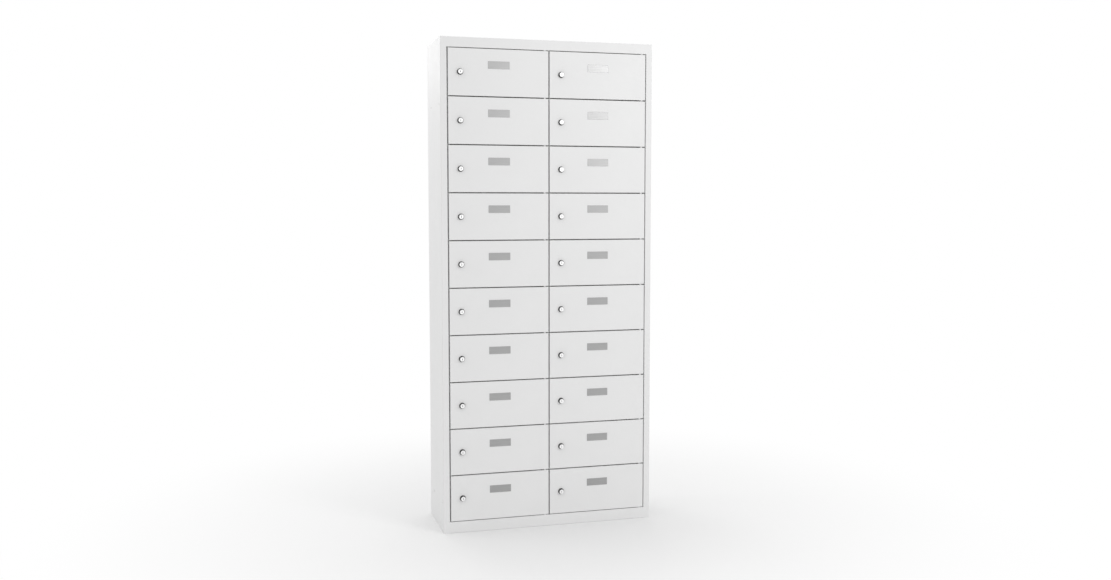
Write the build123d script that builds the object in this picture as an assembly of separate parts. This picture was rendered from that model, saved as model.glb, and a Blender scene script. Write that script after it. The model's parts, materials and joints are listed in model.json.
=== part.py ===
from build123d import *
import math
import os

# A steel compartment cabinet with two columns of ten inset doors. Every door hangs on pivot pins at
# its right edge and is shut by a cam lock near its left edge.
# Millimetres: +X to the right, +Y to the back, +Z up. The origin is on the floor, at the middle of
# the whole box.

# Case
CABINET_WIDTH = 800.0
CABINET_HEIGHT = 1800.0
CASE_DEPTH = 284.0
CASE_SHEET = 1.0
BEND_RADIUS = 0.8
STILE_WIDTH = 23.0
STILE_SEAM_GAP = 0.5
WELD_CLEARANCE = 0.3
TOP_FASCIA = 36.5
BOTTOM_FASCIA = 41.3
REAR_FLANGE = 18.0
FOOT_FLANGE = 25.0
CORNER_CLEARANCE = 1.0

# Doors and the gaps round them
ROWS = 10
DOOR_SHEET = 1.0
DOOR_THICKNESS = 13.0
DOOR_RIM = 9.0
DOOR_EDGE_RADIUS = 0.9
LATCH_GAP = 4.6
MIDDLE_GAP = 4.6
HINGE_GAP = 3.2
ROW_GAP = 4.0
END_GAP = 2.6

# Pivot hinges
HINGE_INSET = 13.5
HINGE_SETBACK = 4.5
PIN_RADIUS = 2.0
PIN_RUNNING_CLEARANCE = 0.05
PIN_REACH = 2.0
LUG_WIDTH = 8.0
LUG_THICKNESS = 2.0
LUG_SEAT = 22.0
NOTCH_CLEARANCE = 0.3
WASHER_RADIUS = 3.6
WASHER_CLEARANCE = 0.1
SWING_CLEARANCE = 1.0

# Strikes and the buffers on them
STRIKE_OVERLAP = 9.0
STRIKE_LAP = 12.0
BUFFER_RADIUS = 3.2
BUFFER_HEIGHT = 3.2
BUFFER_CLEARANCE = 0.3
BUFFER_INSET = 30.0

# Cam locks
LOCK_INSET = 43.6
LOCK_PROUD = 10.0
HEAD_RADIUS = 11.2
HEAD_RIM = 1.2
HEAD_LAND = 1.0
FACE_RADIUS = 7.2
FACE_THICKNESS = 2.6
FACE_RECESS = 0.3
BARREL_RADIUS = 9.5
BARREL_HOLE_CLEARANCE = 0.1
BARREL_END_CLEARANCE = 0.4
PLUG_RADIUS = 6.0
PLUG_RUNNING_CLEARANCE = 0.06
PLUG_END_PLAY = 0.15
KEYWAY_WIDTH = 1.8
KEYWAY_LENGTH = 8.0
KEYWAY_DEPTH = 14.0
NUT_ACROSS_FLATS = 23.0
NUT_THICKNESS = 4.0
CAM_CLEARANCE = 0.5
CAM_THICKNESS = 2.0
CAM_WIDTH = 16.0
CAM_TIP_CLEARANCE = 0.5
CAM_TIP_RADIUS = 3.0
TENON_SIDE = 7.0
SCREW_HEAD_RADIUS = 5.0
SCREW_HEAD_THICKNESS = 2.5
SCREW_RADIUS = 2.0
SCREW_LENGTH = 8.0

# Label plates
LABEL_WIDTH = 80.0
LABEL_HEIGHT = 27.0
LABEL_THICKNESS = 0.8
LABEL_CORNER_RADIUS = 0.8
LABEL_DROP = 43.5

# Shelves
SHELF_FRONT_FLANGE = 20.0
SHELF_SIDE_FLANGE = 12.0
SHELF_BACK_CLEARANCE = 1.0

# Holes and rivets
LINK_HOLE_RADIUS = 3.5
LINK_HOLE_FROM_FRONT = 33.0
LINK_HOLE_SPACING = 172.0
LINK_HOLE_FROM_FLOOR = 109.0
LINK_HOLE_FROM_TOP = 237.0
WALL_HOLE_RADIUS = 3.25
WALL_HOLE_SPACING = 600.0
WALL_HOLE_FROM_TOP = 66.0
RIVET_RADIUS = 1.6
RIVET_HEAD_RADIUS = 3.2
RIVET_HEAD_HEIGHT = 1.0
RIVET_TAIL_RADIUS = 2.3
RIVET_TAIL_HEIGHT = 1.5
RIVET_FROM_EDGE = 10.0
TOP_RIVET_PITCH = 200.0
TOP_RIVETS = 4
ROWS_PER_PARTITION_RIVET = 3

# Planes seen from above, measured from the floor's origin. The middle of the box is at Y = 0.
FRONT = (LOCK_PROUD - CASE_DEPTH - RIVET_HEAD_HEIGHT) / 2
BACK = FRONT + CASE_DEPTH
LEFT = -CABINET_WIDTH / 2
RIGHT = CABINET_WIDTH / 2
STRIKE_FRONT = FRONT + DOOR_THICKNESS + BUFFER_CLEARANCE + BUFFER_HEIGHT
STRIKE_BACK = STRIKE_FRONT + CASE_SHEET
CAM_FRONT = STRIKE_BACK + CAM_CLEARANCE
CAM_BACK = CAM_FRONT + CAM_THICKNESS
HINGE_Y = FRONT + HINGE_SETBACK
SWEEP_BACK = HINGE_Y + math.hypot(HINGE_INSET, DOOR_THICKNESS - HINGE_SETBACK)
SHELF_FRONT = max(SWEEP_BACK, CAM_BACK) + SWING_CLEARANCE
LUG_BACK = SHELF_FRONT + LUG_SEAT
BACK_PANEL_FRONT = BACK - 2 * CASE_SHEET
PARTITION_BACK = BACK_PANEL_FRONT - CASE_SHEET
SHELF_BACK = PARTITION_BACK - SHELF_BACK_CLEARANCE

# Doors across and down
DOOR_WIDTH = (CABINET_WIDTH - 2 * STILE_WIDTH - LATCH_GAP - MIDDLE_GAP - HINGE_GAP) / 2
DOORS_SPAN = CABINET_HEIGHT - TOP_FASCIA - BOTTOM_FASCIA - 2 * END_GAP
DOOR_HEIGHT = (DOORS_SPAN - (ROWS - 1) * ROW_GAP) / ROWS
ROW_PITCH = DOOR_HEIGHT + ROW_GAP
LEFT_DOORS_X = LEFT + STILE_WIDTH + LATCH_GAP
RIGHT_DOORS_X = LEFT_DOORS_X + DOOR_WIDTH + MIDDLE_GAP
DOOR_EDGES = {"left": LEFT_DOORS_X, "right": RIGHT_DOORS_X}
PARTITION_X = RIGHT_DOORS_X - MIDDLE_GAP / 2
OPENING_TOP = CABINET_HEIGHT - TOP_FASCIA
UNDER_TOP = CABINET_HEIGHT - CASE_SHEET
FASCIA_END = STILE_WIDTH - BEND_RADIUS - CASE_SHEET + WELD_CLEARANCE
CAM_REACH = LOCK_INSET - CAM_TIP_CLEARANCE


def block(x0, x1, y0, y1, z0, z1):
    """A box between two opposite corners."""
    middle = Pos((x0 + x1) / 2, (y0 + y1) / 2, (z0 + z1) / 2)
    return middle * Box(x1 - x0, y1 - y0, z1 - z0)


def both_ends(reach, y0, y1, z0, z1):
    """Two blocks that reach inwards from the left and the right side of the case."""
    return [block(LEFT, LEFT + reach, y0, y1, z0, z1), block(RIGHT - reach, RIGHT, y0, y1, z0, z1)]


def rod_x(y, z, x0, x1, radius):
    """A cylinder along X."""
    return Pos((x0 + x1) / 2, y, z) * Rot(0, 90, 0) * Cylinder(radius, x1 - x0)


def rod_y(x, z, y0, y1, radius):
    """A cylinder along Y."""
    return Pos(x, (y0 + y1) / 2, z) * Rot(90, 0, 0) * Cylinder(radius, y1 - y0)


def rod_z(x, y, z0, z1, radius):
    """A cylinder along Z."""
    return Pos(x, y, (z0 + z1) / 2) * Cylinder(radius, z1 - z0)


def turned(points):
    """A closed outline of (radius, y) points turned about the Y axis."""
    return revolve(make_face(Polyline(*points, close=True)), Axis.Y)


def folded_sheet(plane, points, length):
    """A sheet bent along its middle line, which lies in the plane, and as long as the panel."""
    middle_line = FilletPolyline(*points, radius=BEND_RADIUS + CASE_SHEET / 2)
    profile = trace(middle_line, line_width=CASE_SHEET)
    return extrude(plane * profile, length)


def top_edge_waste():
    """What a side panel loses so that its top edges are as round as the bends of the top panel."""
    radius = BEND_RADIUS + CASE_SHEET
    cap = block(LEFT, RIGHT, FRONT, BACK, CABINET_HEIGHT - 2 * radius, CABINET_HEIGHT)
    return cap - fillet(cap.edges().group_by(Axis.Z)[-1], radius)


def door_top(row):
    """Height of a door's top edge. Row 0 is the highest."""
    return OPENING_TOP - END_GAP - row * ROW_PITCH


def door_middle(row):
    """Height of a door's middle."""
    return door_top(row) - DOOR_HEIGHT / 2


def shelf_gaps():
    """Heights of the middles of the gaps between doors, from the top."""
    return [door_top(row) - DOOR_HEIGHT - ROW_GAP / 2 for row in range(ROWS - 1)]


def hinge_x(side):
    """The hinge axis of a column of doors."""
    return DOOR_EDGES[side] + DOOR_WIDTH - HINGE_INSET


def side_rivet_points():
    """(x, z) of the rivets through the side panels' rear flanges, one beside each door."""
    return [
        (x, door_middle(row))
        for x in (LEFT + RIVET_FROM_EDGE, RIGHT - RIVET_FROM_EDGE)
        for row in range(ROWS)
    ]


def top_rivet_points():
    """(x, z) of the rivets through the top panel's rear flange."""
    first = -TOP_RIVET_PITCH * (TOP_RIVETS - 1) / 2
    return [
        (first + i * TOP_RIVET_PITCH, CABINET_HEIGHT - RIVET_FROM_EDGE) for i in range(TOP_RIVETS)
    ]


def partition_rivet_points():
    """(x, z) of the rivets through the partition's rear flange."""
    rows = range(0, ROWS, ROWS_PER_PARTITION_RIVET)
    return [(PARTITION_X + RIVET_FROM_EDGE, door_middle(row)) for row in rows]


def rivet_holes(points):
    """Cutters for the rivets' shanks."""
    return [rod_y(x, z, SHELF_BACK, BACK + CASE_SHEET, RIVET_RADIUS) for x, z in points]


def link_holes():
    """Cutters for the holes in the side panels, where cabinets in a row are bolted together."""
    return [
        rod_x(FRONT + depth, z, LEFT - CASE_SHEET, RIGHT + CASE_SHEET, LINK_HOLE_RADIUS)
        for depth in (LINK_HOLE_FROM_FRONT, LINK_HOLE_FROM_FRONT + LINK_HOLE_SPACING)
        for z in (LINK_HOLE_FROM_FLOOR, CABINET_HEIGHT - LINK_HOLE_FROM_TOP)
    ]


def side_panel(points):
    """A side wall with its box-shaped front stile and its rear flange, folded from one sheet."""
    panel = folded_sheet(Plane.XY, points, CABINET_HEIGHT)
    inner_left = LEFT + CASE_SHEET
    inner_right = RIGHT - CASE_SHEET
    panel -= block(inner_left, inner_right, FRONT + CASE_SHEET, BACK, UNDER_TOP, CABINET_HEIGHT)
    panel -= link_holes()
    panel -= rivet_holes(side_rivet_points())
    return panel - top_edge_waste()


def side_panel_left():
    """The left side, on the lock side of its doors."""
    half = CASE_SHEET / 2
    stile_x = LEFT + STILE_WIDTH - half
    return side_panel(
        [
            (LEFT + CASE_SHEET + STILE_SEAM_GAP, STRIKE_FRONT - half),
            (stile_x, STRIKE_FRONT - half),
            (stile_x, FRONT + half),
            (LEFT + half, FRONT + half),
            (LEFT + half, BACK - half),
            (LEFT + REAR_FLANGE, BACK - half),
        ]
    )


def side_panel_right():
    """The right side, on the hinge side of its doors."""
    half = CASE_SHEET / 2
    stile_x = RIGHT - STILE_WIDTH + half
    return side_panel(
        [
            (RIGHT - CASE_SHEET - STILE_SEAM_GAP, STRIKE_FRONT - half),
            (stile_x, STRIKE_FRONT - half),
            (stile_x, FRONT + half),
            (RIGHT - half, FRONT + half),
            (RIGHT - half, BACK - half),
            (RIGHT - REAR_FLANGE, BACK - half),
        ]
    )


def top_panel(sides):
    """The top, with its fascia, the return that carries the highest lugs, and a rear flange.

    The ends of the fascia fill the round of the stiles' bends, as a weld ground flush does.
    """
    half = CASE_SHEET / 2
    points = [
        (LUG_BACK, OPENING_TOP + half),
        (FRONT + half, OPENING_TOP + half),
        (FRONT + half, CABINET_HEIGHT - half),
        (BACK - half, CABINET_HEIGHT - half),
        (BACK - half, CABINET_HEIGHT - REAR_FLANGE),
    ]
    start = LEFT + CASE_SHEET
    panel = folded_sheet(Plane.YZ.offset(start), points, CABINET_WIDTH - 2 * CASE_SHEET)
    sheet_back = FRONT + CASE_SHEET
    panel -= both_ends(FASCIA_END, FRONT, sheet_back, OPENING_TOP, CABINET_HEIGHT)
    panel -= both_ends(STILE_WIDTH, sheet_back, LUG_BACK, OPENING_TOP, UNDER_TOP)
    panel -= both_ends(REAR_FLANGE, BACK_PANEL_FRONT, BACK, CABINET_HEIGHT - REAR_FLANGE, UNDER_TOP)
    panel -= rivet_holes(top_rivet_points())
    return panel - sides


def bottom_panel(sides):
    """The floor of the lowest compartments, the lower fascia, and the flanges it stands on.

    The ends of the fascia fill the round of the stiles' bends too.
    """
    half = CASE_SHEET / 2
    points = [
        (FRONT + FOOT_FLANGE, half),
        (FRONT + half, half),
        (FRONT + half, BOTTOM_FASCIA - half),
        (BACK - half, BOTTOM_FASCIA - half),
        (BACK - half, half),
        (BACK - FOOT_FLANGE, half),
    ]
    start = LEFT + CASE_SHEET
    panel = folded_sheet(Plane.YZ.offset(start), points, CABINET_WIDTH - 2 * CASE_SHEET)
    sheet_back = FRONT + CASE_SHEET
    panel -= both_ends(FASCIA_END, FRONT, sheet_back, 0, BOTTOM_FASCIA)
    panel -= both_ends(STILE_WIDTH, sheet_back, STRIKE_BACK, 0, BOTTOM_FASCIA)
    panel -= both_ends(REAR_FLANGE, BACK - CASE_SHEET, BACK, 0, BOTTOM_FASCIA)
    return panel - sides


def back_panel():
    """The back, riveted to the flanges from inside them, with the two holes for a wall."""
    edge = CASE_SHEET + CORNER_CLEARANCE
    y0, y1 = BACK_PANEL_FRONT, BACK - CASE_SHEET
    top = UNDER_TOP - CORNER_CLEARANCE
    panel = block(LEFT + edge, RIGHT - edge, y0, y1, BOTTOM_FASCIA, top)
    hole_z = CABINET_HEIGHT - WALL_HOLE_FROM_TOP
    for x in (-WALL_HOLE_SPACING / 2, WALL_HOLE_SPACING / 2):
        panel -= rod_y(x, hole_z, BACK_PANEL_FRONT, BACK, WALL_HOLE_RADIUS)
    return panel - rivet_holes(side_rivet_points() + top_rivet_points() + partition_rivet_points())


def centre_partition():
    """The wall between the columns, with a flange that is riveted to the back."""
    half = CASE_SHEET / 2
    points = [
        (PARTITION_X, STRIKE_BACK),
        (PARTITION_X, PARTITION_BACK + half),
        (PARTITION_X + REAR_FLANGE, PARTITION_BACK + half),
    ]
    plane = Plane.XY.offset(BOTTOM_FASCIA)
    partition = folded_sheet(plane, points, UNDER_TOP - BOTTOM_FASCIA)
    notch_back = LUG_BACK + NOTCH_CLEARANCE
    partition -= block(LEFT, RIGHT, FRONT, notch_back, OPENING_TOP, CABINET_HEIGHT)
    return partition - rivet_holes(partition_rivet_points())


def strike(side):
    """A flat strip that a column's locks catch behind, on the left stile or on the partition's edge."""
    x0 = {"left": LEFT + STILE_WIDTH - STRIKE_LAP, "right": PARTITION_X - CASE_SHEET / 2}[side]
    x1 = DOOR_EDGES[side] + STRIKE_OVERLAP
    return block(x0, x1, STRIKE_FRONT, STRIKE_BACK, BOTTOM_FASCIA, OPENING_TOP)


def shelf(side, gap_z):
    """A shelf with its flanges turned down, notched for the pivot lug under it."""
    x0, x1 = {
        "left": (LEFT + CASE_SHEET, PARTITION_X - CASE_SHEET / 2),
        "right": (PARTITION_X + CASE_SHEET / 2, RIGHT - CASE_SHEET),
    }[side]
    half = CASE_SHEET / 2
    underside = gap_z + LUG_THICKNESS / 2
    top = underside + CASE_SHEET
    points = [
        (SHELF_FRONT + half, top - SHELF_FRONT_FLANGE),
        (SHELF_FRONT + half, top - half),
        (SHELF_BACK - half, top - half),
        (SHELF_BACK - half, top - SHELF_SIDE_FLANGE),
    ]
    tray = folded_sheet(Plane.YZ.offset(x0), points, x1 - x0)
    flange_front = SHELF_FRONT + CASE_SHEET + CORNER_CLEARANCE
    flange_back = SHELF_BACK - CASE_SHEET - CORNER_CLEARANCE
    for x in (x0, x1 - CASE_SHEET):
        tray += block(x, x + CASE_SHEET, flange_front, flange_back, top - SHELF_SIDE_FLANGE, underside)
    notch = LUG_WIDTH / 2 + NOTCH_CLEARANCE
    notch_bottom = gap_z - LUG_THICKNESS / 2 - NOTCH_CLEARANCE
    notch_back = SHELF_FRONT + CASE_SHEET + BEND_RADIUS
    middle = hinge_x(side)
    tray -= block(middle - notch, middle + notch, SHELF_FRONT, notch_back, notch_bottom, underside)
    return tray


def hinge_lug(side, bottom):
    """A pivot lug with a round nose between two doors. Its tail lies flat on what carries it."""
    x = hinge_x(side)
    half = LUG_WIDTH / 2
    lug = block(x - half, x + half, HINGE_Y, LUG_BACK, bottom, bottom + LUG_THICKNESS)
    lug += rod_z(x, HINGE_Y, bottom, bottom + LUG_THICKNESS, half)
    return lug - rod_z(x, HINGE_Y, bottom, bottom + LUG_THICKNESS, PIN_RADIUS)


def lug_bottoms():
    """Undersides of a column's lugs, from the top: fascia return, shelves, cabinet floor."""
    between = [gap_z - LUG_THICKNESS / 2 for gap_z in shelf_gaps()]
    return [OPENING_TOP - LUG_THICKNESS, *between, BOTTOM_FASCIA]


def hinge_pins(side):
    """A column's pins. Each passes its lug and reaches into the doors above and below it."""
    x = hinge_x(side)
    reach = DOOR_SHEET + PIN_REACH
    pins = [rod_z(x, HINGE_Y, door_top(0) - reach, OPENING_TOP, PIN_RADIUS)]
    for gap_z in shelf_gaps():
        half = ROW_GAP / 2 + reach
        pins.append(rod_z(x, HINGE_Y, gap_z - half, gap_z + half, PIN_RADIUS))
    lowest_door = BOTTOM_FASCIA + END_GAP
    pins.append(rod_z(x, HINGE_Y, BOTTOM_FASCIA, lowest_door + reach, PIN_RADIUS))
    return pins


def hinge_washer(side, row):
    """The plastic washer that a door stands on, between its lower edge and the lug under it."""
    x = hinge_x(side)
    lug_top = lug_bottoms()[row + 1] + LUG_THICKNESS
    top = door_top(row) - DOOR_HEIGHT - WASHER_CLEARANCE
    return rod_z(x, HINGE_Y, lug_top, top, WASHER_RADIUS) - rod_z(x, HINGE_Y, lug_top, top, PIN_RADIUS)


def door_buffer(side, z):
    """A rubber buffer on a strike, behind the rim of a door."""
    x = DOOR_EDGES[side] + DOOR_RIM / 2
    return rod_y(x, z, STRIKE_FRONT - BUFFER_HEIGHT, STRIKE_FRONT, BUFFER_RADIUS)


def rivet(x, z, outer, inner):
    """A rivet through the sheets between two planes, its round head on the outer one."""
    head = rod_y(x, z, outer, outer + RIVET_HEAD_HEIGHT, RIVET_HEAD_RADIUS)
    rim = head.edges().filter_by(GeomType.CIRCLE).sort_by(Axis.Y)[-1]
    head = fillet(rim, RIVET_HEAD_HEIGHT * 0.8)
    shank = rod_y(x, z, inner, outer, RIVET_RADIUS)
    tail = rod_y(x, z, inner - RIVET_TAIL_HEIGHT, inner, RIVET_TAIL_RADIUS)
    return head + shank + tail


def back_rivets():
    """All rivets of the back panel, through the flanges behind it and in front of it."""
    flanges = [rivet(x, z, BACK, BACK_PANEL_FRONT) for x, z in side_rivet_points() + top_rivet_points()]
    outer = BACK - CASE_SHEET
    return flanges + [rivet(x, z, outer, PARTITION_BACK) for x, z in partition_rivet_points()]


def door_leaf():
    """A door pan with its left bottom corner at the origin and its face at Y = 0."""
    w, t, h = DOOR_WIDTH, DOOR_THICKNESS, DOOR_HEIGHT
    sheet, rim = DOOR_SHEET, DOOR_RIM
    pan = block(0, w, 0, t, 0, h)
    pan = fillet(pan.edges().group_by(Axis.Y)[0], DOOR_EDGE_RADIUS)
    pan -= block(sheet, w - sheet, sheet, t - sheet, sheet, h - sheet)
    pan -= block(rim, w - rim, sheet, t, rim, h - rim)
    hole = PIN_RADIUS + PIN_RUNNING_CLEARANCE
    pan -= rod_z(w - HINGE_INSET, HINGE_SETBACK, 0, h, hole)
    return pan - rod_y(LOCK_INSET, h / 2, 0, sheet, BARREL_RADIUS + BARREL_HOLE_CLEARANCE)


def lock_housing():
    """The fixed part of a lock: a coned head in front of the door and a barrel through it."""
    end = CAM_FRONT - FRONT - BARREL_END_CLEARANCE
    face_seat = FACE_RECESS + FACE_THICKNESS + PLUG_END_PLAY - LOCK_PROUD
    mouth = FACE_RADIUS + PLUG_RUNNING_CLEARANCE
    bore = PLUG_RADIUS + PLUG_RUNNING_CLEARANCE
    return turned(
        [
            (bore, face_seat),
            (mouth, face_seat),
            (mouth, -LOCK_PROUD),
            (FACE_RADIUS + HEAD_LAND, -LOCK_PROUD),
            (HEAD_RADIUS, -HEAD_RIM),
            (HEAD_RADIUS, 0),
            (BARREL_RADIUS, 0),
            (BARREL_RADIUS, end),
            (bore, end),
        ]
    )


def lock_nut():
    """The hexagon nut that holds a lock against the back of the door's skin."""
    hexagon = RegularPolygon(NUT_ACROSS_FLATS / 2, 6, major_radius=False)
    prism = extrude(Plane.XZ.offset(-DOOR_SHEET) * hexagon, -NUT_THICKNESS)
    return prism - rod_y(0, 0, DOOR_SHEET, DOOR_SHEET + NUT_THICKNESS, BARREL_RADIUS)


def label_plate():
    """A flat plate on a door's face, with its top edge's middle at the origin."""
    half = LABEL_WIDTH / 2
    plate = block(-half, half, -LABEL_THICKNESS, 0, -LABEL_HEIGHT, 0)
    return fillet(plate.edges().filter_by(Axis.Y), LABEL_CORNER_RADIUS)


def lock_place(side, row):
    """Where a lock's axis meets the cabinet's front plane, at half its door's height."""
    return Pos(DOOR_EDGES[side] + LOCK_INSET, FRONT, door_middle(row))


def door(leaf, housing, nut, label, side, row):
    """A door with its lock housing, lock nut and label plate, each a solid of its own."""
    corner = Pos(DOOR_EDGES[side], FRONT, door_top(row) - DOOR_HEIGHT)
    lock = lock_place(side, row)
    label_place = corner * Pos(DOOR_WIDTH / 2, 0, DOOR_HEIGHT - LABEL_DROP)
    return [corner * leaf, lock * housing, lock * nut, label_place * label]


def lock_plug():
    """The keyed plug of a lock, with its bright face and the square tenon that turns the cam."""
    cam_front = CAM_FRONT - FRONT
    cam_back = CAM_BACK - FRONT
    face = FACE_RECESS - LOCK_PROUD
    plug = rod_y(0, 0, face, face + FACE_THICKNESS, FACE_RADIUS)
    plug += rod_y(0, 0, face + FACE_THICKNESS, cam_front, PLUG_RADIUS)
    half = TENON_SIDE / 2
    plug += block(-half, half, cam_front, cam_back, -half, half)
    plug -= rod_y(0, 0, cam_back - SCREW_LENGTH, cam_back, SCREW_RADIUS)
    wide, long = KEYWAY_WIDTH / 2, KEYWAY_LENGTH / 2
    return plug - block(-wide, wide, face, face + KEYWAY_DEPTH, -long, long)


def lock_cam():
    """The cam, hanging down from the plug's tenon."""
    y0 = CAM_FRONT - FRONT
    y1 = CAM_BACK - FRONT
    wide = CAM_WIDTH / 2
    tongue = block(-wide, wide, y0, y1, -CAM_REACH, 0)
    tongue = fillet(tongue.edges().filter_by(Axis.Y).group_by(Axis.Z)[0], CAM_TIP_RADIUS)
    half = TENON_SIDE / 2
    return tongue + rod_y(0, 0, y0, y1, wide) - block(-half, half, y0, y1, -half, half)


def cam_screw():
    """The screw that holds the cam on the plug."""
    back = CAM_BACK - FRONT
    screw = rod_y(0, 0, back, back + SCREW_HEAD_THICKNESS, SCREW_HEAD_RADIUS)
    return screw + rod_y(0, 0, back - SCREW_LENGTH, back, SCREW_RADIUS)


def save(name, solids):
    """Writes one node, which is one solid or a group of separate ones."""
    group = solids if isinstance(solids, list) else [solids]
    export_step(Compound(children=[Solid(s.solid().wrapped) for s in group]), f"parts/{name}.step")


def main():
    os.makedirs("parts", exist_ok=True)
    left = side_panel_left()
    right = side_panel_right()
    sides = ("left", "right")
    save("side_panel_left", left)
    save("side_panel_right", right)
    save("top_panel", top_panel([left, right]))
    save("bottom_panel", bottom_panel([left, right]))
    save("back_panel", back_panel())
    save("centre_partition", centre_partition())
    save("left_strike", strike("left"))
    save("centre_strike", strike("right"))
    for side in sides:
        save(f"shelves_{side}_column", [shelf(side, gap_z) for gap_z in shelf_gaps()])
    save("hinge_lugs", [hinge_lug(side, z) for side in sides for z in lug_bottoms()])
    save("hinge_pins", [pin for side in sides for pin in hinge_pins(side)])
    save("hinge_washers", [hinge_washer(side, row) for side in sides for row in range(ROWS)])
    ends = [
        z
        for row in range(ROWS)
        for z in (door_top(row) - BUFFER_INSET, door_top(row) - DOOR_HEIGHT + BUFFER_INSET)
    ]
    save("door_buffers", [door_buffer(side, z) for side in sides for z in ends])
    save("back_rivets", back_rivets())

    door_pieces = (door_leaf(), lock_housing(), lock_nut(), label_plate())
    rotor_pieces = (lock_plug(), lock_cam(), cam_screw())
    for side in sides:
        for row in range(ROWS):
            name = f"{side}_{row + 1:02d}"
            save(f"door_{name}", door(*door_pieces, side, row))
            place = lock_place(side, row)
            save(f"lock_cam_{name}", [place * piece for piece in rotor_pieces])


if __name__ == "__main__":
    main()
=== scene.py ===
import json
import math

import bmesh
import bpy
from mathutils import Matrix, Vector


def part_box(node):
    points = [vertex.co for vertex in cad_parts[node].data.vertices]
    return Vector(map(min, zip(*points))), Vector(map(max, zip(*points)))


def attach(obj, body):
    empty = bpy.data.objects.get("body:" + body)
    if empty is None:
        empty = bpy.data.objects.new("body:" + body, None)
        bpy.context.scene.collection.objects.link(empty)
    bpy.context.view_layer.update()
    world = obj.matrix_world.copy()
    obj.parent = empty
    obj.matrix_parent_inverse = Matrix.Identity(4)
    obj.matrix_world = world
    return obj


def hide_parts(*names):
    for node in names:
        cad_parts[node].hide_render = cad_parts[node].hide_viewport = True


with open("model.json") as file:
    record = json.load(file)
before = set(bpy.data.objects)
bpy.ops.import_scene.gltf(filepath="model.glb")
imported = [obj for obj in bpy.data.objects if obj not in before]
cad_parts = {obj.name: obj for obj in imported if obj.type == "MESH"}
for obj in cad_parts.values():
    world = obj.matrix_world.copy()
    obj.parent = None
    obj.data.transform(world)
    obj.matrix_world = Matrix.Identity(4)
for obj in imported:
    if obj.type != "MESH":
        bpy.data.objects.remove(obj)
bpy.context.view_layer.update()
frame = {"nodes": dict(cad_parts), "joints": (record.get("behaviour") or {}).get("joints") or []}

MM = 0.001
ROWS = 10
SIDES = ("left", "right")
NAMES = [f"{side}_{row + 1:02d}" for side in SIDES for row in range(ROWS)]
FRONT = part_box("side_panel_left")[0].y
JOINTS = {joint["name"]: joint for joint in frame["joints"]}

# Door leaf, a pan folded from one sheet
LEAF_DEPTH = 13 * MM
LEAF_SHEET = 1 * MM
LEAF_RIM = 9 * MM
LEAF_BEND = 1.2 * MM
LEAF_INNER_BEND = 0.4 * MM
LEAF_EDGE = 0.25 * MM
LEAF_CORNER = 0.9 * MM
LEAF_LEAST_CORNER = 0.15 * MM
LEAF_MARGIN = 20 * MM
SEAM_WIDTH = 0.25 * MM
SEAM_DEPTH = 1.3 * LEAF_SHEET
HINGE_SETBACK = 4.5 * MM
PIN_HOLE_RADIUS = 2.05 * MM

# Cam lock, measured from its axis and the door's face
HEAD_RADIUS = 11.2 * MM
HEAD_HEIGHT = 10 * MM
HEAD_RIM = 1.2 * MM
HEAD_RIM_EDGE = 0.5 * MM
HEAD_FOOT_EDGE = 0.1 * MM
LAND_RADIUS = 8.2 * MM
LAND_EDGE = 0.3 * MM
MOUTH_RADIUS = 7.26 * MM
MOUTH_EDGE = 0.12 * MM
FACE_RADIUS = 7.2 * MM
FACE_EDGE = 0.25 * MM
FACE_RECESS = 0.3 * MM
FACE_THICKNESS = 2.6 * MM
GROOVE_FROM_EDGE = (1.5 * MM, 1.3 * MM, 1.1 * MM)
GROOVE_DEPTH = 0.12 * MM
SEAT_DEPTH = 3.05 * MM
BARREL_RADIUS = 9.5 * MM
BARREL_END = 17.6 * MM
BARREL_CHAMFER = 0.4 * MM
BORE_RADIUS = 6.06 * MM
PLUG_RADIUS = 6 * MM
PLUG_END_EDGE = 0.2 * MM
THREAD_PITCH = 1 * MM
THREAD_DEPTH = 0.5 * MM
THREAD_START = 0.4 * MM
THREAD_STOP = 0.8 * MM
HOLE_RADIUS = 9.6 * MM
KEYWAY_WIDTH = 1.8 * MM
KEYWAY_LENGTH = 8 * MM
KEYWAY_DEPTH = 14 * MM
WARD_EDGE = 0.15 * MM
NUT_ACROSS_FLATS = 23 * MM
NUT_THICKNESS = 4 * MM
NUT_CHAMFER_DEGREES = 28
NUT_LEAD_IN = 0.4 * MM
NUT_CLEARANCE = 0.02 * MM
CAM_FRONT = 18 * MM
CAM_THICKNESS = 2 * MM
CAM_WIDTH = 16 * MM
CAM_TIP_RADIUS = 3 * MM
CAM_EDGE = 0.25 * MM
TENON_SIDE = 7 * MM
SCREW_RADIUS = 5 * MM
SCREW_HEIGHT = 2.5 * MM
SCREW_FOOT_EDGE = 0.2 * MM
SCREW_CROWN = 1.5 * MM
RECESS_ARM = 2.6 * MM
RECESS_HALF_WIDTH = 0.5 * MM
RECESS_DEPTH = 1.6 * MM

# Label plate
LABEL_WIDTH = 80 * MM
LABEL_HEIGHT = 27 * MM
LABEL_THICKNESS = 0.8 * MM
LABEL_CORNER = 0.8 * MM
LABEL_EDGE = 0.2 * MM
LABEL_DROP = 43.5 * MM

# How finely round shapes are divided. A capped lathe shape ends at AXIS_RADIUS, not on its axis.
ROUND_STEPS = 96
SCREW_STEPS = 64
PIN_HOLE_STEPS = 48
CAM_HEAD_STEPS = 24
CORNER_STEPS = 4
FINE_CORNER_STEPS = 8
AXIS_RADIUS = 0.05 * MM


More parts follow.
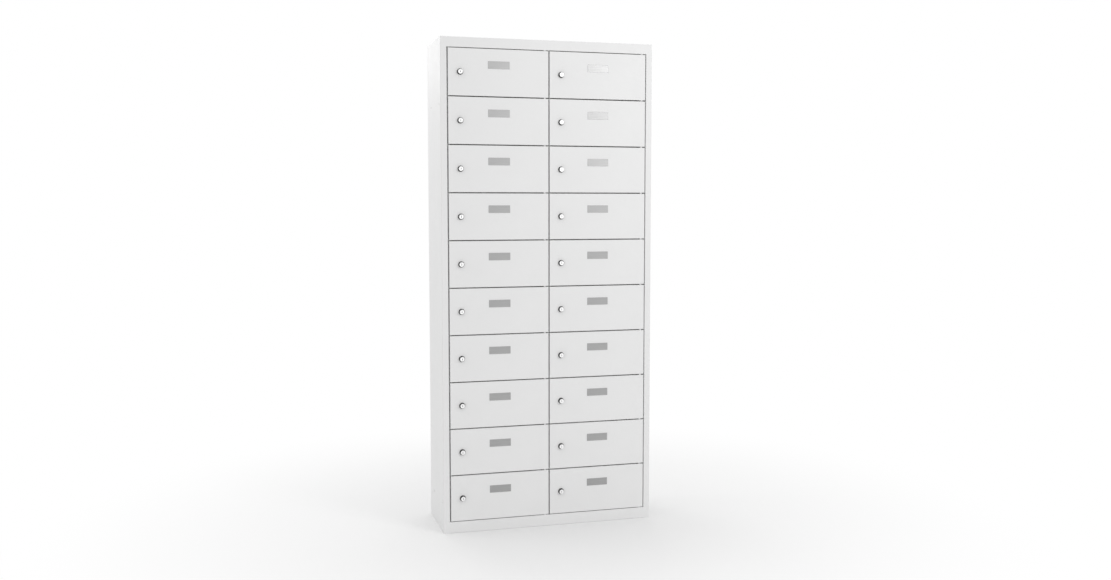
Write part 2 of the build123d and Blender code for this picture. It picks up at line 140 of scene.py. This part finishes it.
def soften(points, radius, steps=CORNER_STEPS):
    """A closed outline with each corner rounded, by one radius or by one for each corner."""
    radii = radius if isinstance(radius, list) else [radius] * len(points)
    corners = [Vector(p) for p in points]
    out = []
    for i, corner in enumerate(corners):
        if radii[i] == 0:
            out.append(corner)
            continue
        before = (corners[i - 1] - corner).normalized()
        after = (corners[(i + 1) % len(corners)] - corner).normalized()
        half = before.angle(after) / 2
        centre = corner + (before + after).normalized() * (radii[i] / math.sin(half))
        start = corner + before * (radii[i] / math.tan(half)) - centre
        end = corner + after * (radii[i] / math.tan(half)) - centre
        sweep = math.atan2(start.cross(end), start.dot(end))
        for k in range(steps + 1):
            out.append(centre + Matrix.Rotation(sweep * k / steps, 2) @ start)
    return out


def outward(mesh):
    """Turns the faces of a closed mesh outward, which a cut needs as much as the shading does."""
    work = bmesh.new()
    work.from_mesh(mesh)
    bmesh.ops.recalc_face_normals(work, faces=work.faces)
    work.to_mesh(mesh)
    work.free()
    return mesh


def loft(name, rings, closed=False):
    """A mesh through rings of equally many points, closed on itself or capped at both ends."""
    count = len(rings[0])
    verts = [point for ring in rings for point in ring]
    faces = []
    for i in range(len(rings) if closed else len(rings) - 1):
        a, b = i * count, ((i + 1) % len(rings)) * count
        for k in range(count):
            m = (k + 1) % count
            faces.append((a + k, a + m, b + m, b + k))
    if not closed:
        faces.append(tuple(reversed(range(count))))
        last = (len(rings) - 1) * count
        faces.append(tuple(range(last, last + count)))
    mesh = bpy.data.meshes.new(name)
    mesh.from_pydata(verts, [], faces)
    return outward(mesh)


def circle(radius, y, steps=ROUND_STEPS):
    """A ring about the Y axis."""
    turns = [2 * math.pi * k / steps for k in range(steps)]
    return [Vector((radius * math.cos(t), y, radius * math.sin(t))) for t in turns]


def lathe(name, profile, closed=True, steps=ROUND_STEPS):
    """A profile of (radius, y) points turned about the Y axis."""
    return loft(name, [circle(r, y, steps) for r, y in profile], closed)


def upright_ring(outline, y):
    """A flat outline stood up in the XZ plane at y."""
    return [Vector((p.x, y, p.y)) for p in outline]


def rectangle(x0, x1, z0, z1, radius, y):
    """A ring round a rectangle with rounded corners."""
    return upright_ring(soften([(x0, z0), (x1, z0), (x1, z1), (x0, z1)], radius), y)


def box_mesh(name, x0, x1, y0, y1, z0, z1):
    """A plain block, used only to cut others."""
    low = [Vector((x, y0, z)) for x, z in ((x0, z0), (x1, z0), (x1, z1), (x0, z1))]
    high = [Vector((v.x, y1, v.z)) for v in low]
    return loft(name, [low, high])


def cut(mesh, cutters, moves=None):
    """A mesh with others cut out of it. Each cutter may have a matrix that places it."""
    target = bpy.data.objects.new("target", mesh)
    bpy.context.scene.collection.objects.link(target)
    tools = []
    for i, cutter in enumerate(cutters):
        tool = bpy.data.objects.new("tool", cutter)
        tool.matrix_world = moves[i] if moves else Matrix.Identity(4)
        bpy.context.scene.collection.objects.link(tool)
        modifier = target.modifiers.new("cut", "BOOLEAN")
        modifier.operation = "DIFFERENCE"
        modifier.solver = "EXACT"
        modifier.object = tool
        tools.append(tool)
    graph = bpy.context.evaluated_depsgraph_get()
    result = bpy.data.meshes.new_from_object(target.evaluated_get(graph))
    result.name = mesh.name
    for thing in (target, *tools):
        bpy.data.objects.remove(thing)
    return result


def finished(mesh, angle=32):
    """Turns the faces outward and shades them smooth, with sharp edges above an angle."""
    outward(mesh)
    mesh.polygons.foreach_set("use_smooth", [True] * len(mesh.polygons))
    mesh.set_sharp_from_angle(angle=math.radians(angle))
    return mesh


def coated(mesh, *materials):
    """Gives a mesh its materials. Each face holds the number of its own."""
    for material in materials:
        mesh.materials.append(material)
    return mesh


def place(name, mesh, body, at, node):
    """Adds a piece that stands for a CAD node or for one of its solids."""
    piece = bpy.data.objects.new(name, mesh)
    bpy.context.scene.collection.objects.link(piece)
    piece.location = at
    normals = piece.modifiers.new("normals", "WEIGHTED_NORMAL")
    normals.keep_sharp = True
    normals.weight = 80
    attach(piece, body)
    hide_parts(node)


def leaf_mesh(width, height, lock_x, lock_z, hinge_x):
    """A door pan with bent edges, rims turned in at the back, and its lock and pin holes."""
    sheet, rim, depth = LEAF_SHEET, LEAF_RIM, LEAF_DEPTH
    section = [
        (LEAF_MARGIN, 0),
        (0, 0),
        (0, depth),
        (rim, depth),
        (rim, depth - sheet),
        (sheet, depth - sheet),
        (sheet, sheet),
        (LEAF_MARGIN, sheet),
    ]
    outer, inner, edge = LEAF_BEND, LEAF_INNER_BEND, LEAF_EDGE
    rings = []
    for inset, y in soften(section, [0, outer, outer, edge, edge, inner, inner, 0]):
        corner = max(LEAF_CORNER - inset, LEAF_LEAST_CORNER)
        rings.append(rectangle(inset, width - inset, inset, height - inset, corner, y))
    pan = loft("door_leaf", rings)
    hole = lathe("hole", [(HOLE_RADIUS, -depth), (HOLE_RADIUS, depth)], False)
    pin_ends = [(PIN_HOLE_RADIUS, -height), (PIN_HOLE_RADIUS, 2 * height)]
    pin = lathe("pin_hole", pin_ends, False, PIN_HOLE_STEPS)
    half = SEAM_WIDTH / 2
    seam = box_mesh("seam", 0, 2 * rim, depth - SEAM_DEPTH, 2 * depth, -half, half)
    upright = Matrix.Rotation(math.radians(90), 4, "X")
    moves = [
        Matrix.Translation((lock_x, 0, lock_z)),
        Matrix.Translation((hinge_x, HINGE_SETBACK, 0)) @ upright,
    ]
    mitres = ((0, 0, 45), (width, 0, 135), (width, height, 225), (0, height, 315))
    for x, z, turn in mitres:
        moves.append(Matrix.Translation((x, 0, z)) @ Matrix.Rotation(math.radians(-turn), 4, "Y"))
    return finished(cut(pan, [hole, pin] + [seam.copy() for _ in mitres], moves))


def housing_mesh():
    """A lock's coned head in front of the door and its threaded barrel through it."""
    threads = []
    first, last = LEAF_SHEET + THREAD_START, BARREL_END - THREAD_STOP
    for k in range(int((last - first) / THREAD_PITCH)):
        y = first + k * THREAD_PITCH
        threads.append((BARREL_RADIUS - THREAD_DEPTH, y))
        threads.append((BARREL_RADIUS, y + THREAD_PITCH * 0.45))
        threads.append((BARREL_RADIUS, y + THREAD_PITCH * 0.6))
    seat = SEAT_DEPTH - HEAD_HEIGHT
    head = [
        (MOUTH_RADIUS, seat),
        (MOUTH_RADIUS, -HEAD_HEIGHT),
        (LAND_RADIUS, -HEAD_HEIGHT),
        (HEAD_RADIUS, -HEAD_RIM),
        (HEAD_RADIUS, 0),
        (BARREL_RADIUS, 0),
    ]
    radii = [0, MOUTH_EDGE, LAND_EDGE, HEAD_RIM_EDGE, HEAD_FOOT_EDGE, 0]
    tail = [
        (BARREL_RADIUS - THREAD_DEPTH, BARREL_END - BARREL_CHAMFER),
        (BARREL_RADIUS - 2 * THREAD_DEPTH, BARREL_END),
        (BORE_RADIUS, BARREL_END),
        (BORE_RADIUS, seat),
    ]
    closed = soften(head + threads + tail, radii + [0] * (len(threads) + len(tail)))
    mesh = finished(lathe("lock_housing", closed))
    for face in mesh.polygons:
        face.material_index = 1 if face.center.y < LAND_EDGE / 2 - HEAD_HEIGHT else 0
    return mesh


def nut_mesh():
    """A hexagon nut with both its faces chamfered."""
    apothem = NUT_ACROSS_FLATS / 2
    bevel_radius = apothem * 1.01
    slope = math.tan(math.radians(NUT_CHAMFER_DEGREES))
    y0, y1 = LEAF_SHEET, LEAF_SHEET + NUT_THICKNESS
    flats, chamfers, drops = [], [], []
    for k in range(ROUND_STEPS):
        turn = 2 * math.pi * k / ROUND_STEPS
        off = (turn + math.pi / 6) % (math.pi / 3) - math.pi / 6
        reach = apothem / math.cos(off)
        flats.append((reach * math.cos(turn), reach * math.sin(turn)))
        rim = min(reach, bevel_radius)
        chamfers.append((rim * math.cos(turn), rim * math.sin(turn)))
        drops.append((reach - rim) * slope)
    rings = [
        [Vector((x, y0, z)) for x, z in chamfers],
        [Vector((x, y0 + drop, z)) for (x, z), drop in zip(flats, drops)],
        [Vector((x, y1 - drop, z)) for (x, z), drop in zip(flats, drops)],
        [Vector((x, y1, z)) for x, z in chamfers],
        circle(BARREL_RADIUS + NUT_LEAD_IN, y1),
        circle(BARREL_RADIUS + NUT_CLEARANCE, y1 - NUT_LEAD_IN),
        circle(BARREL_RADIUS + NUT_CLEARANCE, y0 + NUT_LEAD_IN),
        circle(BARREL_RADIUS + NUT_LEAD_IN, y0),
    ]
    return finished(loft("lock_nut", rings, closed=True), 20)


def plug_mesh():
    """A keyed plug: a bright face with a keyway in it, and the shank behind it."""
    face = FACE_RECESS - HEAD_HEIGHT
    groove_start, groove_middle, groove_end = GROOVE_FROM_EDGE
    profile = [
        (AXIS_RADIUS, face),
        (FACE_RADIUS - groove_start, face),
        (FACE_RADIUS - groove_middle, face + GROOVE_DEPTH),
        (FACE_RADIUS - groove_end, face),
        (FACE_RADIUS, face),
        (FACE_RADIUS, face + FACE_THICKNESS),
        (PLUG_RADIUS, face + FACE_THICKNESS),
        (PLUG_RADIUS, CAM_FRONT),
        (AXIS_RADIUS, CAM_FRONT),
    ]
    radii = [0, 0, 0, 0, FACE_EDGE, 0, 0, PLUG_END_EDGE, 0]
    plug = lathe("lock_plug", soften(profile, radii), closed=False)
    wide, tall = KEYWAY_WIDTH / 2, KEYWAY_LENGTH / 2
    slot = soften([(-wide, -tall), (wide, -tall), (wide, tall), (-wide, tall)], 0.98 * wide)
    low, high = -tall / 3, tall / 6
    ward = soften([(0, low), (1.8 * wide, low), (1.8 * wide, high), (0, high)], WARD_EDGE)
    ends = (face - 2 * MM, face + KEYWAY_DEPTH)
    cutters = [
        loft(name, [upright_ring(outline, y) for y in ends])
        for name, outline in (("keyway", slot), ("ward", ward))
    ]
    return finished(cut(plug, cutters))


def cam_mesh(reach):
    """A stamped cam that hangs from the plug, with a square hole for its tenon."""
    half = CAM_WIDTH / 2
    turns = [math.pi * k / CAM_HEAD_STEPS for k in range(CAM_HEAD_STEPS + 1)]
    head = [Vector((half * math.cos(t), half * math.sin(t))) for t in turns]
    corners = [(-half, 0), (-half, -reach), (half, -reach), (half, 0)]
    tip = soften(corners, [0, CAM_TIP_RADIUS, CAM_TIP_RADIUS, 0], FINE_CORNER_STEPS)
    outline = head + tip[1:-1]
    middle = Vector((0, -reach / 2))
    length, edge = reach + CAM_WIDTH, CAM_EDGE
    rings = []
    for inset, y in ((edge, 0), (0, edge), (0, CAM_THICKNESS - edge), (edge, CAM_THICKNESS)):
        grown = Vector(((half - inset) / half, (length - 2 * inset) / length))
        ring = []
        for p in outline:
            x = (p.x - middle.x) * grown.x + middle.x
            z = (p.y - middle.y) * grown.y + middle.y
            ring.append(Vector((x, CAM_FRONT + y, z)))
        rings.append(ring)
    side = TENON_SIDE / 2
    hole = box_mesh("tenon_hole", -side, side, 0, 2 * CAM_FRONT, -side, side)
    return finished(cut(loft("cam_plate", rings), [hole]), 25)


def screw_mesh():
    """A pan-head screw with a cross recess."""
    back = CAM_FRONT + CAM_THICKNESS
    top = back + SCREW_HEIGHT
    profile = [(AXIS_RADIUS, back), (SCREW_RADIUS, back), (SCREW_RADIUS, top), (AXIS_RADIUS, top)]
    rounded = soften(profile, [0, SCREW_FOOT_EDGE, SCREW_CROWN, 0], FINE_CORNER_STEPS)
    screw = lathe("cam_screw", rounded, closed=False, steps=SCREW_STEPS)
    arm, wide, depth = RECESS_ARM, RECESS_HALF_WIDTH, RECESS_DEPTH
    bars = [
        box_mesh("bar", -arm, arm, top - depth, top + depth, -wide, wide),
        box_mesh("bar", -wide, wide, top - depth, top + depth, -arm, arm),
    ]
    return finished(cut(screw, bars))


def label_mesh():
    """A thin plate with a broken edge, its top edge's middle at the origin."""
    half, edge = LABEL_WIDTH / 2, LABEL_EDGE
    bottom, face = -LABEL_HEIGHT, -LABEL_THICKNESS
    corner = LABEL_CORNER
    rings = [
        rectangle(-half, half, bottom, 0, corner, 0),
        rectangle(-half, half, bottom, 0, corner, face + edge),
        rectangle(-half + edge, half - edge, bottom + edge, -edge, corner - edge, face),
    ]
    return finished(loft("label_plate", rings))


class Shader:
    """A node material with one Principled BSDF and short ways to vary it over a surface."""

    def __init__(self, name, **settings):
        self.material = bpy.data.materials.new(name)
        self.material.use_nodes = True
        self.nodes = self.material.node_tree.nodes
        self.links = self.material.node_tree.links
        self.surface = self.nodes["Principled BSDF"]
        for socket, value in settings.items():
            self.surface.inputs[socket.replace("_", " ")].default_value = value
        self.place = self.nodes.new("ShaderNodeTexCoord").outputs["Object"]

    def noise(self, scale, detail, stretch=(1, 1, 1)):
        """Noise in the piece's own metres, stretched along some axes."""
        mapping = self.nodes.new("ShaderNodeMapping")
        mapping.inputs["Scale"].default_value = stretch
        texture = self.nodes.new("ShaderNodeTexNoise")
        texture.inputs["Scale"].default_value = scale
        texture.inputs["Detail"].default_value = detail
        self.links.new(self.place, mapping.inputs["Vector"])
        self.links.new(mapping.outputs["Vector"], texture.inputs["Vector"])
        return texture.outputs["Fac"]

    def spread(self, factor, low, high):
        """A factor about 0.5 made to run between two values."""
        node = self.nodes.new("ShaderNodeMapRange")
        node.inputs["From Min"].default_value = 0.3
        node.inputs["From Max"].default_value = 0.7
        node.inputs["To Min"].default_value = low
        node.inputs["To Max"].default_value = high
        self.links.new(factor, node.inputs["Value"])
        return node.outputs["Result"]

    def colour(self, factor, low, high):
        """A base colour that varies between two."""
        node = self.nodes.new("ShaderNodeMix")
        node.data_type = "RGBA"
        node.inputs["A"].default_value = (*low, 1)
        node.inputs["B"].default_value = (*high, 1)
        self.links.new(self.spread(factor, 0, 1), node.inputs["Factor"])
        self.links.new(node.outputs["Result"], self.surface.inputs["Base Color"])

    def roughness(self, factor, low, high):
        """A roughness that varies between two."""
        self.links.new(self.spread(factor, low, high), self.surface.inputs["Roughness"])

    def relief(self, factor, distance, strength=1.0):
        """Fine relief. The distance is its real height."""
        bump = self.nodes.new("ShaderNodeBump")
        bump.inputs["Distance"].default_value = distance
        bump.inputs["Strength"].default_value = strength
        self.links.new(factor, bump.inputs["Height"])
        if self.surface.inputs["Normal"].is_linked:
            before = self.surface.inputs["Normal"].links[0].from_socket
            self.links.new(before, bump.inputs["Normal"])
        self.links.new(bump.outputs["Normal"], self.surface.inputs["Normal"])

    def turning(self, pitch, distance):
        """Fine rings about the Y axis, as a lathe or a polishing disc leaves."""
        flat = self.nodes.new("ShaderNodeVectorMath")
        flat.operation = "MULTIPLY"
        flat.inputs[1].default_value = (1, 0, 1)
        length = self.nodes.new("ShaderNodeVectorMath")
        length.operation = "LENGTH"
        scaled = self.nodes.new("ShaderNodeMath")
        scaled.operation = "MULTIPLY"
        scaled.inputs[1].default_value = 2 * math.pi / pitch
        wave = self.nodes.new("ShaderNodeMath")
        wave.operation = "SINE"
        self.links.new(self.place, flat.inputs[0])
        self.links.new(flat.outputs[0], length.inputs[0])
        self.links.new(length.outputs["Value"], scaled.inputs[0])
        self.links.new(scaled.outputs[0], wave.inputs[0])
        self.relief(wave.outputs[0], distance)


def grey(value, warmth=0.0):
    """A grey, made warmer by a little more red and less blue."""
    return (value + warmth, value, value - warmth)


def powder_coat(name, value):
    """Satin powder coat: a fine orange peel, faint unevenness of tone and gloss."""
    shader = Shader(name, Specular_IOR_Level=0.4)
    shader.colour(shader.noise(6, 4), grey(value - 0.008), grey(value + 0.006))
    shader.roughness(shader.noise(25, 3), 0.42, 0.50)
    shader.relief(shader.noise(520, 2), 0.00003, 0.5)
    shader.relief(shader.noise(1900, 2), 0.000008, 0.5)
    return shader.material


def plated(name, low, high, roughness, spots):
    """Plated metal: uneven tone, faint smears in its gloss and a fine grain."""
    shader = Shader(name, Metallic=1.0)
    shader.colour(shader.noise(spots, 4), low, high)
    shader.roughness(shader.noise(spots * 2.5, 4), *roughness)
    shader.relief(shader.noise(2600, 2), 0.000004, 0.6)
    return shader


def label_aluminium():
    """Anodised aluminium, brushed along its length."""
    shader = Shader("label_aluminium", Metallic=1.0)
    strokes = shader.noise(2200, 3, (0.01, 1, 1))
    shader.colour(strokes, grey(0.35), grey(0.42))
    shader.roughness(shader.noise(900, 3, (0.03, 1, 1)), 0.37, 0.43)
    shader.relief(strokes, 0.000002, 0.5)
    return shader.material


def rubber():
    """Matt black rubber of the buffers."""
    shader = Shader("black_rubber", Specular_IOR_Level=0.3)
    shader.colour(shader.noise(300, 3), grey(0.03), grey(0.05))
    shader.roughness(shader.noise(500, 3), 0.65, 0.85)
    shader.relief(shader.noise(2200, 3), 0.00002, 0.7)
    return shader.material


def nylon():
    """Slightly warm white nylon of the washers."""
    shader = Shader("white_nylon", Subsurface_Weight=0.05)
    shader.colour(shader.noise(200, 3), grey(0.74, 0.01), grey(0.80, 0.01))
    shader.roughness(shader.noise(600, 2), 0.42, 0.55)
    shader.relief(shader.noise(1500, 2), 0.000008, 0.5)
    return shader.material


def lock_head():
    """Dark nickel on the coned head, turned on a lathe."""
    shader = plated("dark_nickel", grey(0.06), grey(0.11), (0.2, 0.32), 90)
    shader.turning(0.35 * MM, 0.0000015)
    return shader.material


def lock_face():
    """Bright nickel on the plug and on the land round it, ground on a fine disc."""
    shader = plated("bright_nickel", grey(0.94), grey(0.97), (0.5, 0.6), 110)
    shader.turning(0.3 * MM, 0.0000012)
    return shader.material


def zinc():
    """Zinc plate, with its cloudy passivation."""
    shader = plated("zinc_plate", (0.55, 0.55, 0.53), (0.68, 0.68, 0.67), (0.28, 0.42), 60)
    shader.relief(shader.noise(800, 3), 0.00001, 0.4)
    return shader.material


COAT_TONE = 0.78
white = powder_coat("white_powder_coat", COAT_TONE)
door_white = powder_coat("white_door_coat", COAT_TONE)
dark_nickel = lock_head()
bright_nickel = lock_face()
zinc_plate = zinc()
aluminium = label_aluminium()
rivet_aluminium = plated("rivet_aluminium", grey(0.68), grey(0.78), (0.3, 0.42), 150).material
black_rubber = rubber()
white_nylon = nylon()

# CAD nodes that stay as they are, and what they are made of
WHITE_NODES = (
    "side_panel_left",
    "side_panel_right",
    "top_panel",
    "bottom_panel",
    "back_panel",
    "centre_partition",
    "left_strike",
    "centre_strike",
    "shelves_left_column",
    "shelves_right_column",
    "hinge_lugs",
)
KEPT_NODES = {
    **{node: (white, "white_powder_coat") for node in WHITE_NODES},
    "hinge_pins": (zinc_plate, "zinc_plated_steel"),
    "hinge_washers": (white_nylon, "white_nylon"),
    "door_buffers": (black_rubber, "black_rubber"),
    "back_rivets": (rivet_aluminium, "aluminium_rivet"),
}
for node, (material, slot) in KEPT_NODES.items():
    for holder in frame["nodes"][node].material_slots:
        holder.material = material


def add_doors():
    """All doors with their locks and labels. Equal pieces share one mesh."""
    low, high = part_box("door_left_01")
    lock = Vector(JOINTS["lock_left_01_turn"]["pos_m"])
    hinge = Vector(JOINTS["door_left_01_hinge"]["pos_m"])
    width, height = high.x - low.x, high.z - low.z
    pan = leaf_mesh(width, height, lock.x - low.x, lock.z - low.z, hinge.x - low.x)
    leaf = coated(pan, door_white)
    housing = coated(housing_mesh(), dark_nickel, bright_nickel)
    nut = coated(nut_mesh(), zinc_plate)
    label = coated(label_mesh(), aluminium)
    plug = coated(plug_mesh(), bright_nickel)
    cam = coated(cam_mesh(lock.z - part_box("lock_cam_left_01")[0].z), zinc_plate)
    screw = coated(screw_mesh(), zinc_plate)
    for name in NAMES:
        door, rotor = f"door_{name}", f"lock_cam_{name}"
        low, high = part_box(door)
        corner = Vector((low.x, FRONT, low.z))
        axis = Vector(JOINTS[f"lock_{name}_turn"]["pos_m"])
        axis.y = FRONT
        label_at = Vector(((low.x + high.x) / 2, FRONT, high.z - LABEL_DROP))
        place(f"door_leaf_{name}", leaf, door, corner, door)
        place(f"lock_housing_{name}", housing, door, axis, door)
        place(f"lock_nut_{name}", nut, door, axis, door)
        place(f"label_plate_{name}", label, door, label_at, door)
        place(f"lock_plug_{name}", plug, rotor, axis, rotor)
        place(f"cam_plate_{name}", cam, rotor, axis, rotor)
        place(f"cam_screw_{name}", screw, rotor, axis, rotor)


add_doors()

# Camera, at the photograph's place and angle. The angles are in degrees.
IMAGE_WIDTH = 1111
FOCAL_PIXELS = 1096.2
SENSOR_WIDTH = 36.0
CAMERA_AT = Vector((-1.0774, FRONT - 3.8998, 1.2059))
YAW = 15.785
PITCH = 4.48

# Light and floor
WORLD_LIGHT = 0.85
WHITE = (1, 1, 1, 1)
DIRECT_RAYS = ("Is Camera Ray", "Is Glossy Ray", "Is Transmission Ray")
FLOOR_HALF = 30.0
FLOOR_TONE = 0.835
FLOOR_FADE_START = 0.25
FLOOR_FADE_END = 1.9


def add_camera():
    """The photograph's camera."""
    camera = bpy.data.objects.new("camera", bpy.data.cameras.new("camera"))
    bpy.context.scene.collection.objects.link(camera)
    camera.data.sensor_width = SENSOR_WIDTH
    camera.data.lens = FOCAL_PIXELS / IMAGE_WIDTH * SENSOR_WIDTH
    camera.location = CAMERA_AT
    camera.rotation_euler = (math.radians(90 - PITCH), 0, math.radians(-YAW))
    bpy.context.scene.camera = camera


def seen_only(tree, of_rays):
    """1 for the rays that are named, 0 for others."""
    path = tree.nodes.new("ShaderNodeLightPath")
    total = path.outputs[of_rays[0]]
    for ray in of_rays[1:]:
        larger = tree.nodes.new("ShaderNodeMath")
        larger.operation = "MAXIMUM"
        tree.links.new(total, larger.inputs[0])
        tree.links.new(path.outputs[ray], larger.inputs[1])
        total = larger.outputs[0]
    return total


def add_world():
    """White where it is seen, and a plain even light."""
    world = bpy.data.worlds.new("world")
    bpy.context.scene.world = world
    world.use_nodes = True
    tree = world.node_tree
    light = tree.nodes["Background"]
    light.inputs["Color"].default_value = WHITE
    light.inputs["Strength"].default_value = WORLD_LIGHT
    seen = tree.nodes.new("ShaderNodeBackground")
    seen.inputs["Color"].default_value = WHITE
    seen.inputs["Strength"].default_value = 1.0
    mix = tree.nodes.new("ShaderNodeMixShader")
    tree.links.new(seen_only(tree, DIRECT_RAYS), mix.inputs["Fac"])
    tree.links.new(light.outputs[0], mix.inputs[1])
    tree.links.new(seen.outputs[0], mix.inputs[2])
    tree.links.new(mix.outputs[0], tree.nodes["World Output"].inputs["Surface"])


def add_lamp(name, at, aim, size, power):
    """A square soft box, of a size in metres and a power in watts."""
    lamp = bpy.data.lights.new(name, "AREA")
    lamp.shape = "SQUARE"
    lamp.size = size
    lamp.energy = power
    holder = bpy.data.objects.new(name, lamp)
    bpy.context.scene.collection.objects.link(holder)
    holder.location = at
    holder.rotation_euler = (Vector(aim) - Vector(at)).to_track_quat("-Z", "Y").to_euler()
    holder.visible_camera = False


def add_floor():
    """A pale floor that keeps the cabinet's shadow near it and turns white with distance."""
    corners = [Vector((x, y, 0)) * FLOOR_HALF for x, y in ((-1, -1), (1, -1), (1, 1), (-1, 1))]
    mesh = bpy.data.meshes.new("floor")
    mesh.from_pydata(corners, [], [(0, 1, 2, 3)])
    floor = bpy.data.objects.new("floor", mesh)
    bpy.context.scene.collection.objects.link(floor)
    material = bpy.data.materials.new("pale_floor")
    material.use_nodes = True
    tree = material.node_tree
    paint = tree.nodes["Principled BSDF"]
    paint.inputs["Base Color"].default_value = (*grey(FLOOR_TONE), 1)
    paint.inputs["Roughness"].default_value = 0.9
    paint.inputs["Specular IOR Level"].default_value = 0.0
    place_of = tree.nodes.new("ShaderNodeTexCoord")
    distance = tree.nodes.new("ShaderNodeVectorMath")
    distance.operation = "LENGTH"
    fade = tree.nodes.new("ShaderNodeMapRange")
    fade.interpolation_type = "SMOOTHSTEP"
    fade.inputs["From Min"].default_value = FLOOR_FADE_START
    fade.inputs["From Max"].default_value = FLOOR_FADE_END
    both = tree.nodes.new("ShaderNodeMath")
    both.operation = "MULTIPLY"
    glow = tree.nodes.new("ShaderNodeEmission")
    glow.inputs["Color"].default_value = WHITE
    glow.inputs["Strength"].default_value = 1.0
    mix = tree.nodes.new("ShaderNodeMixShader")
    tree.links.new(place_of.outputs["Object"], distance.inputs[0])
    tree.links.new(distance.outputs["Value"], fade.inputs["Value"])
    tree.links.new(fade.outputs["Result"], both.inputs[0])
    tree.links.new(seen_only(tree, DIRECT_RAYS), both.inputs[1])
    tree.links.new(both.outputs[0], mix.inputs["Fac"])
    tree.links.new(paint.outputs[0], mix.inputs[1])
    tree.links.new(glow.outputs[0], mix.inputs[2])
    tree.links.new(mix.outputs[0], tree.nodes["Material Output"].inputs["Surface"])
    mesh.materials.append(material)


add_camera()
add_world()
add_floor()
add_lamp("right_card", (1.55, -2.6, 2.2), (0, 0, 1.2), 1.0, 20.5)
add_lamp("left_card", (-1.6, 0.4, 2.3), (-0.4, 0, 1.5), 0.8, 4.5)
add_lamp("back_card", (-1.0, 2.6, 2.5), (-0.4, 0, 1.4), 1.2, 6)
add_lamp("overhead", (0, 1.4, 3.6), (0, 0, 0.6), 2.0, 15)
bpy.context.scene.view_settings.view_transform = "Standard"
